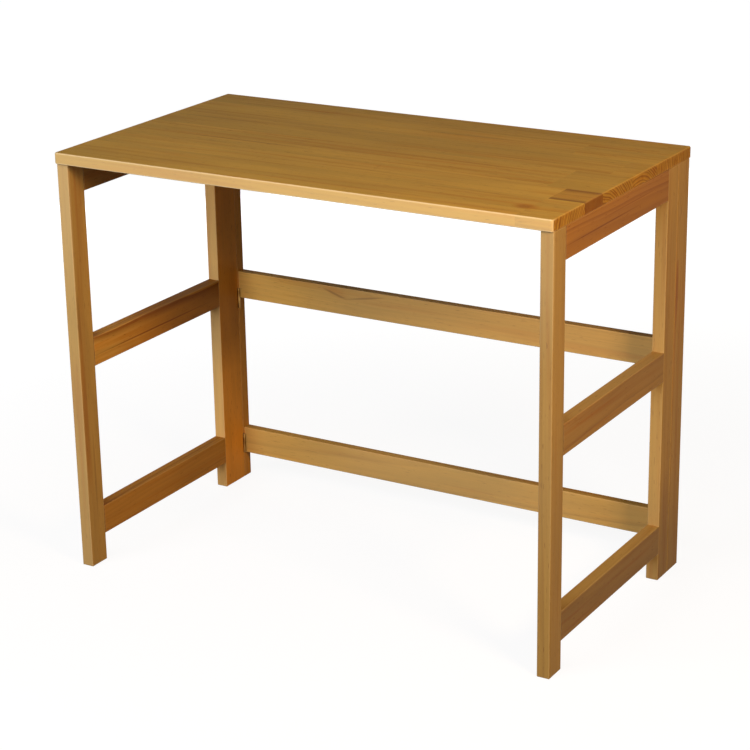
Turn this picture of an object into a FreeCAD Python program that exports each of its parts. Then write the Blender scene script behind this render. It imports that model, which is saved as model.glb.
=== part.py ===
import FreeCAD, Part
import os
import Sketcher

# Folding desk of stained pine: a back frame on the floor, a left and a right side frame that swing inwards
# on butt hinges until they lie along the back frame, and a desktop that lifts on hinges at its rear edge.
# Millimetres. X runs to the right, Y to the back, Z up.
# The origin is on the floor, under the desktop's middle.

# Driving dimensions: name, size, what it is
DIMENSIONS = (
    ("desk_width", 910, "desktop, left to right"),
    ("desk_depth", 508, "desktop, front to back"),
    ("desk_height", 740, "floor to the top of the desktop"),
    ("top_thickness", 19, "desktop panel"),
    ("side_overhang", 1, "desktop past the outer faces of the side frames"),
    ("front_overhang", 5, "desktop past the front legs"),
    ("back_overhang", 4, "desktop past the back frame"),
    ("top_round", 2.5, "round on the upper edges of the desktop"),
    ("corner_round", 5, "round on the upright corners of the desktop"),
    ("frame_thickness", 22, "legs, posts and side rails, left to right"),
    ("leg_width", 41, "front legs, front to back"),
    ("rear_depth", 83, "rear leg, seam and post together, front to back"),
    ("left_post_depth", 21, "left post, front to back"),
    ("fold_clearance", 1, "between the two side frames when both are folded"),
    ("seam_gap", 0.4, "between a post and its leg, and under the desktop"),
    ("edge_round", 1.5, "eased edges of the frames and under the desktop"),
    ("rail_height", 51, "middle and bottom rails"),
    ("top_rail_height", 53, "rails under the desktop"),
    ("back_rail_thickness", 17.5, "back rails, front to back"),
    ("low_rail_bottom", 49, "floor to the bottom rails"),
    ("middle_rail_bottom", 359, "floor to the middle rails"),
    ("hinge_length", 38, "butt hinge, along its pin"),
    ("leaf_reach", 16, "hinge axis to the far edge of a leaf"),
    ("leaf_thickness", 1.2, "hinge leaf"),
    ("leaf_clearance", 0.2, "round a leaf in its mortise"),
    ("countersink_land", 0.1, "leaf left under its countersinks"),
    ("knuckle_diameter", 4.5, "hinge knuckle"),
    ("knuckle_gap", 0.2, "between neighbouring knuckles"),
    ("knuckle_clearance", 0.3, "round the knuckles in the wood"),
    ("pin_diameter", 2.2, "hinge pin"),
    ("pin_clearance", 0.05, "round the pin in its knuckles"),
    ("pin_chamfer", 0.3, "ends of the pin"),
    ("hinge_offset", 1.5, "side hinge axis inwards of the frames' inner face"),
    ("top_hinge_offset", 1.2, "desktop hinge axis behind the back frame"),
    ("low_hinge_rise", 20, "bottom rail's lower edge up to the middle of the lowest side hinge"),
    ("top_hinge_drop", 19, "top rail's lower edge down to the middle of the highest side hinge"),
    ("top_hinge_spacing", 300, "between neighbouring desktop hinges"),
    ("screw_diameter", 2.8, "hinge screw shank"),
    ("screw_head", 5, "hinge screw head"),
    ("screw_length", 12, "hinge screw, with its head"),
    ("screw_point", 2.5, "hinge screw's tapered end"),
    ("screw_recess", 0.6, "width and depth of the cross recess in the head"),
    ("recess_span", 3, "length of each arm of the cross recess"),
    ("screw_reach", 10.5, "hinge axis to the screws"),
    ("screw_spacing", 24, "between the two screws of a leaf"),
    ("screw_clearance", 0.1, "round a screw in wood and brass"),
    ("dowel_diameter", 8, "beech dowel"),
    ("dowel_length", 30, "beech dowel"),
    ("dowel_chamfer", 1, "ends of a dowel"),
    ("dowel_clearance", 0.05, "round a dowel in its bore"),
    ("bore_end_gap", 0.5, "past the end of a dowel or screw in its bore"),
    ("leg_dowel_depth", 15, "dowel in a leg"),
    ("post_dowel_depth", 13, "dowel in a post"),
    ("low_dowel_rise", 20, "rail's lower edge to its lower dowel, clear of the hinge screws"),
    ("dowel_spacing", 20, "between the two dowels of a rail end"),
)

# Places and sizes that follow from the driving dimensions
FRAME_TOP = "(dims.desk_height - dims.top_thickness - dims.seam_gap)"
OUTER_X = "(dims.desk_width / 2 - dims.side_overhang)"
INNER_X = f"({OUTER_X} - dims.frame_thickness)"
FRONT_Y = "(dims.front_overhang - dims.desk_depth / 2)"
BACK_Y = "(dims.desk_depth / 2 - dims.back_overhang)"
REAR_LEG_Y = f"({BACK_Y} - dims.rear_depth)"
SIDE_RAIL_Y = f"({FRONT_Y} + dims.leg_width)"
SIDE_RAIL_LENGTH = f"({REAR_LEG_Y} - {SIDE_RAIL_Y})"
POST_DEPTH = {
    "left": "dims.left_post_depth",
    "right": "(dims.left_post_depth + dims.frame_thickness + dims.fold_clearance)",
}
SIDE_SIGN = {"left": -1, "right": 1}
RAIL_BOTTOM = {
    "top": f"({FRAME_TOP} - dims.top_rail_height)",
    "middle": "dims.middle_rail_bottom",
    "bottom": "dims.low_rail_bottom",
}
RAIL_HEIGHT = {"top": "dims.top_rail_height", "middle": "dims.rail_height", "bottom": "dims.rail_height"}

# Hinge places: side hinges by height, desktop hinges by distance from the middle
SIDE_HINGE_Z = {
    "top": f"({RAIL_BOTTOM['top']} - dims.top_hinge_drop)",
    "middle": f"({RAIL_BOTTOM['middle']})",
    "bottom": f"({RAIL_BOTTOM['bottom']} + dims.low_hinge_rise)",
}
TOP_HINGE_X = {"left": "(-dims.top_hinge_spacing)", "middle": "(0 * dims.top_hinge_spacing)",
               "right": "(dims.top_hinge_spacing)"}
TOP_AXIS_Y = f"({BACK_Y} + dims.top_hinge_offset)"
TOP_AXIS_Z = f"({FRAME_TOP} + dims.seam_gap / 2)"

# Seats of the hinges in the wood, measured from the hinge axis
LEAF_SEAT_REACH = "(dims.leaf_reach + dims.leaf_clearance)"
LEAF_SEAT_LENGTH = "(dims.hinge_length + 2 * dims.leaf_clearance)"
KNUCKLE_SEAT_REACH = "(dims.knuckle_diameter / 2 + dims.knuckle_clearance)"
KNUCKLE_SEAT_DEPTH = f"({KNUCKLE_SEAT_REACH} - dims.seam_gap / 2)"
PILOT_DIAMETER = "(dims.screw_diameter + 2 * dims.screw_clearance)"
PILOT_DEPTH = "(dims.screw_length + dims.bore_end_gap)"
COUNTERSINK_WIDTH = "((dims.screw_head - dims.screw_diameter) / 2)"
COUNTERSINK_DEPTH = "(dims.leaf_thickness - dims.countersink_land)"
DOWEL_BORE = "(dims.dowel_diameter + 2 * dims.dowel_clearance)"
DOWEL_RISES = ("dims.low_dowel_rise", "(dims.low_dowel_rise + dims.dowel_spacing)")
SCREW_SIDES = (-0.5, 0.5)

# For a cut into each face of a board: sketch plane, offset along its normal, and whether the cut turns round
FACE_PLANES = {
    "x0": ("YZ_Plane", "0 * {x}", True),
    "x1": ("YZ_Plane", "{x}", False),
    "y0": ("XZ_Plane", "0 * {y}", False),
    "y1": ("XZ_Plane", "-{y}", True),
    "z0": ("XY_Plane", "0 * {z}", True),
    "z1": ("XY_Plane", "{z}", False),
}
HINGE_KNUCKLES = 5
EPSILON = 1e-4

X_AXIS = FreeCAD.Vector(1, 0, 0)
Y_AXIS = FreeCAD.Vector(0, 1, 0)
Z_AXIS = FreeCAD.Vector(0, 0, 1)

doc = FreeCAD.newDocument("FoldingDesk")
dims = doc.addObject("Spreadsheet::Sheet", "dims")
for row, (alias, size, meaning) in enumerate(DIMENSIONS, start=1):
    dims.set(f"A{row}", alias)
    dims.set(f"B{row}", str(size))
    dims.set(f"C{row}", meaning)
    dims.setAlias(f"B{row}", alias)
doc.recompute()

sub_parts = []


def value(expression):
    """Number that an expression on the sheet comes to."""
    return float(dims.evalExpression(expression))


def new_body(label):
    """Empty body for one sub-part."""
    body = doc.addObject("PartDesign::Body", label)
    body.Label = label
    sub_parts.append(body)
    return body


def move_to(item, x, y, z):
    """Bind a sub-part's place to expressions."""
    for axis, expression in zip("xyz", (x, y, z)):
        item.setExpression(f"Placement.Base.{axis}", expression)


def new_sketch(body, name, role, offset):
    """Sketch on one of the body's own origin planes, moved along the plane's normal."""
    sketch = body.newObject("Sketcher::SketchObject", name)
    plane = next(item for item in body.Origin.OriginFeatures if item.Role == role)
    sketch.AttachmentSupport = [(plane, "")]
    sketch.MapMode = "FlatFace"
    sketch.setExpression("AttachmentOffset.Base.z", offset)
    return sketch


def constrain(sketch, kind, places, expression):
    """Dimension in a sketch, bound to an expression."""
    index = sketch.addConstraint(Sketcher.Constraint(kind, *places, value(expression)))
    sketch.setExpression(f"Constraints[{index}]", expression)


def add_outline(sketch, corners):
    """Closed outline of straight lines through corners given as pairs of expressions."""
    points = [FreeCAD.Vector(value(u), value(v), 0) for u, v in corners]
    first = sketch.GeometryCount
    count = len(points)
    for i in range(count):
        sketch.addGeometry(Part.LineSegment(points[i], points[(i + 1) % count]))
    for i in range(count):
        sketch.addConstraint(Sketcher.Constraint("Coincident", first + i, 2, first + (i + 1) % count, 1))
    for i, (u, v) in enumerate(corners):
        constrain(sketch, "DistanceX", (-1, 1, first + i, 1), u)
        constrain(sketch, "DistanceY", (-1, 1, first + i, 1), v)


def add_rectangle(sketch, left, low, width, height):
    """Rectangle from its lower left corner."""
    right = f"({left} + {width})"
    high = f"({low} + {height})"
    add_outline(sketch, ((left, low), (right, low), (right, high), (left, high)))


def add_circle(sketch, u, v, diameter):
    """Circle from its centre."""
    centre = FreeCAD.Vector(value(u), value(v), 0)
    index = sketch.addGeometry(Part.Circle(centre, Z_AXIS, value(diameter) / 2))
    constrain(sketch, "DistanceX", (-1, 1, index, 3), u)
    constrain(sketch, "DistanceY", (-1, 1, index, 3), v)
    constrain(sketch, "Diameter", (index,), diameter)


def add_pad(body, sketch, length, symmetric=False):
    """Pad of a sketch."""
    pad = body.newObject("PartDesign::Pad", f"{sketch.Name}_pad")
    pad.Profile = sketch
    pad.SideType = "Symmetric" if symmetric else "One side"
    pad.setExpression("Length", length)
    doc.recompute()
    return pad


def check_cut(body, sketch, before):
    """Refuse a cut that took no wood or metal away."""
    if body.Shape.Volume > before - EPSILON:
        raise ValueError(f"{sketch.Name} cuts nothing from {body.Label}")


def add_pocket(body, sketch, depth, turned=False):
    """Pocket of a sketch."""
    before = body.Shape.Volume
    pocket = body.newObject("PartDesign::Pocket", f"{sketch.Name}_pocket")
    pocket.Profile = sketch
    pocket.Reversed = turned
    pocket.setExpression("Length", depth)
    doc.recompute()
    check_cut(body, sketch, before)
    return pocket


def add_groove(body, sketch, edge):
    """Cut of a sketch turned about one of its own edges."""
    before = body.Shape.Volume
    groove = body.newObject("PartDesign::Groove", f"{sketch.Name}_groove")
    groove.Profile = sketch
    groove.ReferenceAxis = (sketch, [edge])
    groove.Angle = 360
    doc.recompute()
    check_cut(body, sketch, before)
    return groove


def add_edge_treatment(body, kind, wanted, size):
    """Fillet or chamfer on the edges of the body that a test picks out."""
    base = body.Tip
    edges = [f"Edge{i}" for i, edge in enumerate(base.Shape.Edges, start=1) if wanted(edge)]
    treatment = body.newObject(f"PartDesign::{kind}", f"{body.Name}_{kind.lower()}")
    treatment.Base = (base, edges)
    treatment.setExpression("Radius" if kind == "Fillet" else "Size", size)
    doc.recompute()
    return treatment


def is_along(axis):
    """Test for straight edges that run along an axis."""
    def test(edge):
        if edge.Curve.TypeId != "Part::GeomLine":
            return False
        return abs(edge.tangentAt(edge.FirstParameter) * axis) > 1 - EPSILON
    return test


def is_at_height(height):
    """Test for edges that lie in a level plane."""
    def test(edge):
        box = edge.BoundBox
        return abs(box.ZMin - height) < EPSILON and abs(box.ZMax - height) < EPSILON
    return test


def is_circle(edge):
    """Test for round edges."""
    return edge.Curve.TypeId == "Part::GeomCircle"


class Board:
    """Squared length of wood with its lowest corner at the body's origin, and cuts into its faces."""

    def __init__(self, label, corner, size):
        self.body = new_body(label)
        self.size = dict(zip("xyz", size))
        outline = new_sketch(self.body, f"{label}_outline", "XY_Plane", "0 * dims.desk_width")
        add_rectangle(outline, "0 * dims.desk_width", "0 * dims.desk_width", size[0], size[1])
        add_pad(self.body, outline, size[2])
        move_to(self.body, *corner)

    def ease(self, axis=None):
        """Round the edges along one axis, or all edges."""
        wanted = is_along(axis) if axis else (lambda edge: True)
        add_edge_treatment(self.body, "Fillet", wanted, "dims.edge_round")

    def cut(self, name, face, depth, draw):
        """Cut what draw puts on a sketch into one face."""
        role, offset, turned = FACE_PLANES[face]
        sketch = new_sketch(self.body, f"{self.body.Name}_{name}", role, offset.format(**self.size))
        draw(sketch)
        add_pocket(self.body, sketch, depth, turned)

    def bore_dowels(self, name, face, across, heights, depth):
        """Bores for dowels at one distance across a face and at several heights."""
        def draw(sketch):
            for height in heights:
                add_circle(sketch, across, height, DOWEL_BORE)
        self.cut(name, face, f"({depth} + dims.bore_end_gap)", draw)


def make_desktop():
    """Panel with rounded edges, and seats for three hinges underneath at the back."""
    board = Board("desktop", ("-dims.desk_width / 2", "-dims.desk_depth / 2",
                              "dims.desk_height - dims.top_thickness"),
                  ("dims.desk_width", "dims.desk_depth", "dims.top_thickness"))
    add_edge_treatment(board.body, "Fillet", is_along(Z_AXIS), "dims.corner_round")
    add_edge_treatment(board.body, "Fillet", is_at_height(value("dims.top_thickness")), "dims.top_round")
    add_edge_treatment(board.body, "Fillet", is_at_height(0), "dims.edge_round")
    axis_y = f"({TOP_AXIS_Y} + dims.desk_depth / 2)"
    places = [f"({x} + dims.desk_width / 2)" for x in TOP_HINGE_X.values()]
    cut_top_hinge_seats(board, "z0", places, axis_y, "(dims.back_overhang - dims.top_hinge_offset)")
    return board.body


def cut_top_hinge_seats(board, face, places, axis_y, behind):
    """Mortises for leaves, room for knuckles and pilot holes, for hinges along the board's rear edge."""
    def draw_leaves(sketch):
        for x in places:
            add_rectangle(sketch, f"({x} - {LEAF_SEAT_LENGTH} / 2)", f"({axis_y} - {LEAF_SEAT_REACH})",
                          LEAF_SEAT_LENGTH, f"({LEAF_SEAT_REACH} + {behind})")

    def draw_knuckles(sketch):
        for x in places:
            add_rectangle(sketch, f"({x} - {LEAF_SEAT_LENGTH} / 2)", f"({axis_y} - {KNUCKLE_SEAT_REACH})",
                          LEAF_SEAT_LENGTH, f"({KNUCKLE_SEAT_REACH} + {behind})")

    def draw_pilots(sketch):
        for x in places:
            for side in SCREW_SIDES:
                add_circle(sketch, f"({x} + {side} * dims.screw_spacing)", f"({axis_y} - dims.screw_reach)",
                           PILOT_DIAMETER)

    board.cut("leaf_seats", face, "dims.leaf_thickness", draw_leaves)
    board.cut("knuckle_seats", face, KNUCKLE_SEAT_DEPTH, draw_knuckles)
    board.cut("pilot_holes", face, PILOT_DEPTH, draw_pilots)


def cut_side_hinge_seats(board, face, side):
    """Mortises for leaves, room for knuckles and pilot holes at the inner edge of a post or rear leg."""
    def from_inner_face(reach):
        return f"(dims.frame_thickness - {reach})" if side == "left" else reach

    def draw_seats(sketch, reach):
        width = f"({reach} - dims.hinge_offset)"
        left = from_inner_face(width) if side == "left" else "(0 * dims.frame_thickness)"
        for z in SIDE_HINGE_Z.values():
            add_rectangle(sketch, left, f"({z} - {LEAF_SEAT_LENGTH} / 2)", width, LEAF_SEAT_LENGTH)

    def draw_pilots(sketch):
        for z in SIDE_HINGE_Z.values():
            for end in SCREW_SIDES:
                add_circle(sketch, from_inner_face("(dims.screw_reach - dims.hinge_offset)"),
                           f"({z} + {end} * dims.screw_spacing)", PILOT_DIAMETER)

    board.cut("leaf_seats", face, "dims.leaf_thickness",
              lambda sketch: draw_seats(sketch, LEAF_SEAT_REACH))
    board.cut("knuckle_seats", face, KNUCKLE_SEAT_DEPTH,
              lambda sketch: draw_seats(sketch, KNUCKLE_SEAT_REACH))
    board.cut("pilot_holes", face, PILOT_DEPTH, draw_pilots)


def rail_dowel_heights():
    """Heights of all dowels that enter a leg or post from its three rails."""
    return [f"({bottom} + {rise})" for bottom in RAIL_BOTTOM.values() for rise in DOWEL_RISES]


def make_upright(label, side, low_y, depth):
    """Leg or post, from the floor to just under the desktop."""
    x = f"(-{OUTER_X})" if side == "left" else INNER_X
    board = Board(label, (x, low_y, "0 * dims.desk_height"), ("dims.frame_thickness", depth, FRAME_TOP))
    board.ease()
    return board


def make_side_frame(side):
    """Front leg, rear leg and three rails of one side, all of one thickness."""
    middle = "(dims.frame_thickness / 2)"
    front = make_upright(f"{side}_front_leg", side, FRONT_Y, "dims.leg_width")
    front.bore_dowels("dowel_bores", "y1", middle, rail_dowel_heights(), "dims.leg_dowel_depth")
    rear_depth = f"(dims.rear_depth - {POST_DEPTH[side]} - dims.seam_gap)"
    rear = make_upright(f"{side}_rear_leg", side, REAR_LEG_Y, rear_depth)
    rear.bore_dowels("dowel_bores", "y0", middle, rail_dowel_heights(), "dims.leg_dowel_depth")
    cut_side_hinge_seats(rear, "y1", side)
    x = f"(-{OUTER_X})" if side == "left" else INNER_X
    rails = []
    for level, bottom in RAIL_BOTTOM.items():
        rail = Board(f"{side}_{level}_rail", (x, SIDE_RAIL_Y, bottom),
                     ("dims.frame_thickness", SIDE_RAIL_LENGTH, RAIL_HEIGHT[level]))
        rail.ease(Y_AXIS)
        for face in ("y0", "y1"):
            rail.bore_dowels(f"bores_{face}", face, middle, DOWEL_RISES,
                             "(dims.dowel_length - dims.leg_dowel_depth)")
        rails.append(rail.body)
    return rails


def cut_knuckle_notches(rail, level):
    """Room for the side hinges' knuckles in the ends of a back rail that reaches them."""
    width = f"(dims.hinge_offset + {KNUCKLE_SEAT_REACH})"
    starts = {"left": "(0 * dims.desk_width)", "right": f"({rail.size['x']} - {width})"}
    lows = [f"({z} - {LEAF_SEAT_LENGTH} / 2 - {RAIL_BOTTOM[level]})" for z in SIDE_HINGE_Z.values()]
    near = [low for low in lows if -value(LEAF_SEAT_LENGTH) < value(low) < value(RAIL_HEIGHT[level])]
    for side, start in starts.items():
        setback = f"({POST_DEPTH[side]} + dims.seam_gap / 2 - dims.back_rail_thickness)"
        depth = f"({KNUCKLE_SEAT_REACH} - {setback})"
        if value(depth) <= 0 or not near:
            continue

        def draw(sketch, start=start):
            for low in near:
                add_rectangle(sketch, start, low, width, LEAF_SEAT_LENGTH)

        rail.cut(f"{side}_knuckle_notch", "y0", depth, draw)


def make_back_frame():
    """Two posts of different depth, joined by three rails that are flush with their backs."""
    middle = "(dims.back_rail_thickness / 2)"
    for side, inner_face in (("left", "x1"), ("right", "x0")):
        depth = POST_DEPTH[side]
        post = make_upright(f"{side}_back_post", side, f"({BACK_Y} - {depth})", depth)
        post.bore_dowels("dowel_bores", inner_face, f"({depth} - {middle})", rail_dowel_heights(),
                         "dims.post_dowel_depth")
        cut_side_hinge_seats(post, "y0", side)
    rails = []
    for level, bottom in RAIL_BOTTOM.items():
        corner = (f"(-{INNER_X})", f"({BACK_Y} - dims.back_rail_thickness)", bottom)
        rail = Board(f"back_{level}_rail", corner,
                     (f"(2 * {INNER_X})", "dims.back_rail_thickness", RAIL_HEIGHT[level]))
        rail.ease(X_AXIS)
        for face in ("x0", "x1"):
            rail.bore_dowels(f"bores_{face}", face, middle, DOWEL_RISES,
                             "(dims.dowel_length - dims.post_dowel_depth)")
        cut_knuckle_notches(rail, level)
        if level == "top":
            places = [f"({x} + {INNER_X})" for x in TOP_HINGE_X.values()]
            axis_y = "(dims.back_rail_thickness + dims.top_hinge_offset)"
            cut_top_hinge_seats(rail, "z1", places, axis_y, "(-dims.top_hinge_offset)")
        rails.append(rail.body)
    return rails


def draw_barrel(sketch):
    """Section of one knuckle: a round about the pin that runs out into the leaf, with the pin's bore."""
    radius = value("dims.knuckle_diameter / 2")
    low = value("dims.seam_gap / 2")
    high = low + value("dims.leaf_thickness")
    end = value("dims.knuckle_diameter / 2 + dims.knuckle_clearance + dims.leaf_thickness")
    upper = FreeCAD.Vector((radius ** 2 - high ** 2) ** 0.5, high, 0)
    lower = FreeCAD.Vector((radius ** 2 - low ** 2) ** 0.5, low, 0)
    arc = sketch.addGeometry(Part.Arc(upper, FreeCAD.Vector(-radius, 0, 0), lower))
    corners = (lower, FreeCAD.Vector(end, low, 0), FreeCAD.Vector(end, high, 0), upper)
    lines = [sketch.addGeometry(Part.LineSegment(a, b)) for a, b in zip(corners, corners[1:])]
    sketch.addConstraint(Sketcher.Constraint("Coincident", arc, 3, -1, 1))
    sketch.addConstraint(Sketcher.Constraint("Coincident", arc, 2, lines[0], 1))
    sketch.addConstraint(Sketcher.Constraint("Coincident", lines[0], 2, lines[1], 1))
    sketch.addConstraint(Sketcher.Constraint("Coincident", lines[1], 2, lines[2], 1))
    sketch.addConstraint(Sketcher.Constraint("Coincident", lines[2], 2, arc, 1))
    sketch.addConstraint(Sketcher.Constraint("Horizontal", lines[0]))
    sketch.addConstraint(Sketcher.Constraint("Vertical", lines[1]))
    sketch.addConstraint(Sketcher.Constraint("Horizontal", lines[2]))
    constrain(sketch, "Radius", (arc,), "dims.knuckle_diameter / 2")
    constrain(sketch, "DistanceY", (-1, 1, lines[1], 1), "dims.seam_gap / 2")
    constrain(sketch, "DistanceY", (lines[1], 1, lines[1], 2), "dims.leaf_thickness")
    constrain(sketch, "DistanceX", (-1, 1, lines[1], 1),
              "dims.knuckle_diameter / 2 + dims.knuckle_clearance + dims.leaf_thickness")
    add_circle(sketch, "0 * dims.pin_diameter", "0 * dims.pin_diameter",
               "(dims.pin_diameter + 2 * dims.pin_clearance)")


def draw_countersink(sketch):
    """Half section of one countersink, from the leaf's face inwards, whose last edge is its axis."""
    face = "(dims.seam_gap / 2)"
    floor = f"({face} + {COUNTERSINK_DEPTH})"
    hole = f"(dims.screw_reach + {PILOT_DIAMETER} / 2)"
    add_outline(sketch, (
        ("dims.screw_reach", face),
        (f"({hole} + {COUNTERSINK_WIDTH})", face),
        (hole, floor),
        ("dims.screw_reach", floor),
    ))


def make_leaf(label, first_knuckle, rotation, place):
    """Hinge leaf about the pin as Z axis: the leaf reaches along +X, on the +Y side of the seam."""
    body = new_body(label)
    plate = new_sketch(body, f"{label}_plate", "XY_Plane", "0 * dims.leaf_reach")
    start = f"({KNUCKLE_SEAT_REACH})"
    add_rectangle(plate, start, "(dims.seam_gap / 2)",
                  f"(dims.leaf_reach - {start})", "dims.leaf_thickness")
    add_pad(body, plate, "dims.hinge_length", symmetric=True)

    segment = f"(dims.hinge_length / {HINGE_KNUCKLES})"
    bottom = f"({first_knuckle} * {segment} - dims.hinge_length / 2 + dims.knuckle_gap / 2)"
    barrel = new_sketch(body, f"{label}_barrel", "XY_Plane", bottom)
    draw_barrel(barrel)
    knuckle = add_pad(body, barrel, f"({segment} - dims.knuckle_gap)")
    count = len(range(first_knuckle, HINGE_KNUCKLES, 2))
    pattern = body.newObject("PartDesign::LinearPattern", f"{label}_knuckles")
    pattern.Originals = [knuckle]
    pattern.Direction = (next(item for item in body.Origin.OriginFeatures if item.Role == "Z_Axis"), [""])
    pattern.Mode = "Extent"
    pattern.Occurrences = count
    pattern.setExpression("Length", f"{2 * (count - 1)} * {segment}")
    body.Tip = pattern
    doc.recompute()

    holes = new_sketch(body, f"{label}_holes", "XZ_Plane", "0 * dims.screw_reach")
    for end in SCREW_SIDES:
        add_circle(holes, "dims.screw_reach", f"({end} * dims.screw_spacing)", PILOT_DIAMETER)
    add_pocket(body, holes, "(dims.leaf_thickness + dims.seam_gap)")
    for name, end in zip(("low", "high"), SCREW_SIDES):
        height = f"({end} * dims.screw_spacing)"
        countersink = new_sketch(body, f"{label}_{name}_countersink", "XY_Plane", height)
        draw_countersink(countersink)
        add_groove(body, countersink, "Edge4")
    body.Placement = FreeCAD.Placement(FreeCAD.Vector(), rotation)
    move_to(body, *place)
    return body


def make_pin(label, rotation, place):
    """Pin through all knuckles of one hinge, with chamfered ends."""
    body = new_body(label)
    section = new_sketch(body, f"{label}_section", "XY_Plane", "0 * dims.pin_diameter")
    add_circle(section, "0 * dims.pin_diameter", "0 * dims.pin_diameter", "dims.pin_diameter")
    add_pad(body, section, "dims.hinge_length", symmetric=True)
    add_edge_treatment(body, "Chamfer", is_circle, "dims.pin_chamfer")
    body.Placement = FreeCAD.Placement(FreeCAD.Vector(), rotation)
    move_to(body, *place)
    return body


def make_hinge(name, fixed_name, moving_name, reach, fixed_side, place):
    """Fixed leaf, moving leaf and pin of one butt hinge, from two directions and the middle of its axis."""
    def turned(side):
        return FreeCAD.Rotation(reach, side, reach.cross(side), "XYZ")

    fixed = make_leaf(f"{name}_{fixed_name}_leaf", 0, turned(fixed_side), place)
    moving = make_leaf(f"{name}_{moving_name}_leaf", 1, turned(-fixed_side), place)
    make_pin(f"{name}_pin", turned(fixed_side), place)
    return fixed, moving


def make_pattern_body(name):
    """Body whose shape is copied into a group, and isn't a sub-part itself."""
    return doc.addObject("PartDesign::Body", name)


def make_screw():
    """Countersunk screw that points along +Y, its head flush with the face of a leaf."""
    body = make_pattern_body("screw_pattern")
    sketch = new_sketch(body, "screw_profile", "XY_Plane", "0 * dims.screw_length")
    head = "(dims.screw_head / 2)"
    shank = "(dims.screw_diameter / 2)"
    top = "(dims.seam_gap / 2)"
    add_outline(sketch, (
        ("(0 * dims.screw_length)", top),
        (head, top),
        (shank, f"({top} + {COUNTERSINK_DEPTH})"),
        (shank, "(dims.seam_gap / 2 + dims.screw_length - dims.screw_point)"),
        ("(0 * dims.screw_length)", "(dims.seam_gap / 2 + dims.screw_length)"),
    ))
    turn = body.newObject("PartDesign::Revolution", "screw_turn")
    turn.Profile = sketch
    turn.ReferenceAxis = (sketch, ["V_Axis"])
    turn.Angle = 360
    doc.recompute()
    arms = (
        ("recess_u", "dims.recess_span", "dims.screw_recess"),
        ("recess_w", "dims.screw_recess", "dims.recess_span"),
    )
    for name, width, height in arms:
        recess = new_sketch(body, name, "XZ_Plane", "0 * dims.screw_length")
        add_rectangle(recess, f"(-{width} / 2)", f"(-{height} / 2)", width, height)
        add_pocket(body, recess, f"({top} + dims.screw_recess)")
    return body


def make_dowel():
    """Dowel along +Z from its lower end, with chamfered ends."""
    body = make_pattern_body("dowel_pattern")
    section = new_sketch(body, "dowel_section", "XY_Plane", "0 * dims.dowel_length")
    add_circle(section, "0 * dims.dowel_length", "0 * dims.dowel_length", "dims.dowel_diameter")
    add_pad(body, section, "dims.dowel_length")
    add_edge_treatment(body, "Chamfer", is_circle, "dims.dowel_chamfer")
    return body


def make_group(label, pattern, places):
    """Separate copies of one piece that share a sub-part."""
    solid = pattern.Shape.Solids[0]
    copies = []
    for place in places:
        copy = solid.copy()
        copy.Placement = place.multiply(solid.Placement)
        copies.append(copy)
    group = doc.addObject("Part::Feature", label)
    group.Label = label
    group.Shape = Part.makeCompound(copies)
    group.Placement = FreeCAD.Placement()
    sub_parts.append(group)


def screw_places(leaves):
    """Place of every screw in a list of leaves."""
    reach = value("dims.screw_reach")
    spacing = value("dims.screw_spacing")
    spots = [FreeCAD.Vector(reach, 0, side * spacing) for side in SCREW_SIDES]
    places = []
    for leaf in leaves:
        for spot in spots:
            places.append(leaf.Placement.multiply(FreeCAD.Placement(spot, FreeCAD.Rotation())))
    return places


def dowel_places(rails, axis, depth):
    """Place of every dowel in the two ends of each rail, which enters its neighbour by a depth."""
    places = []
    for rail in rails:
        box = rail.Shape.BoundBox
        for rise in DOWEL_RISES:
            for direction in (axis, -axis):
                end = box.Center + direction * (abs(axis.x) * box.XLength + abs(axis.y) * box.YLength) / 2
                start = end + direction * value(depth)
                start.z = box.ZMin + value(rise)
                places.append(FreeCAD.Placement(start, FreeCAD.Rotation(Z_AXIS, -direction)))
    return places


def check_and_write():
    """Refuse a failed feature or a bad shape, then write every sub-part."""
    doc.recompute()
    for item in doc.Objects:
        if "Invalid" in item.State or "Error" in item.State:
            raise ValueError(f"{item.Label} failed: {item.State}")
    for item in sub_parts:
        if item.Shape.isNull() or not item.Shape.isValid() or not item.Shape.Solids:
            raise ValueError(f"{item.Label} has no valid solid")
    os.makedirs("parts", exist_ok=True)
    for item in sub_parts:
        item.Shape.exportStep(f"parts/{item.Label}.step")
        print(f"{item.Label}: {len(item.Shape.Solids)} solids, {item.Shape.Volume:.1f} mm3")


make_desktop()
back_rails = make_back_frame()
side_rails = {side: make_side_frame(side) for side in SIDE_SIGN}

side_leaves = {}
for side, sign in SIDE_SIGN.items():
    axis_x = f"{sign} * ({INNER_X} - dims.hinge_offset)"
    axis_y = f"{BACK_Y} - {POST_DEPTH[side]} - dims.seam_gap / 2"
    side_leaves[side] = [
        make_hinge(f"{side}_{level}_hinge", "post", "leg", X_AXIS * sign, Y_AXIS, (axis_x, axis_y, z))
        for level, z in SIDE_HINGE_Z.items()
    ]
top_leaves = [
    make_hinge(f"desktop_{level}_hinge", "rail", "top", -Y_AXIS, -Z_AXIS, (x, TOP_AXIS_Y, TOP_AXIS_Z))
    for level, x in TOP_HINGE_X.items()
]
doc.recompute()

screw = make_screw()
for side, pairs in side_leaves.items():
    make_group(f"{side}_post_hinge_screws", screw, screw_places([fixed for fixed, moving in pairs]))
    make_group(f"{side}_leg_hinge_screws", screw, screw_places([moving for fixed, moving in pairs]))
make_group("back_rail_hinge_screws", screw, screw_places([fixed for fixed, moving in top_leaves]))
make_group("desktop_hinge_screws", screw, screw_places([moving for fixed, moving in top_leaves]))

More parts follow.
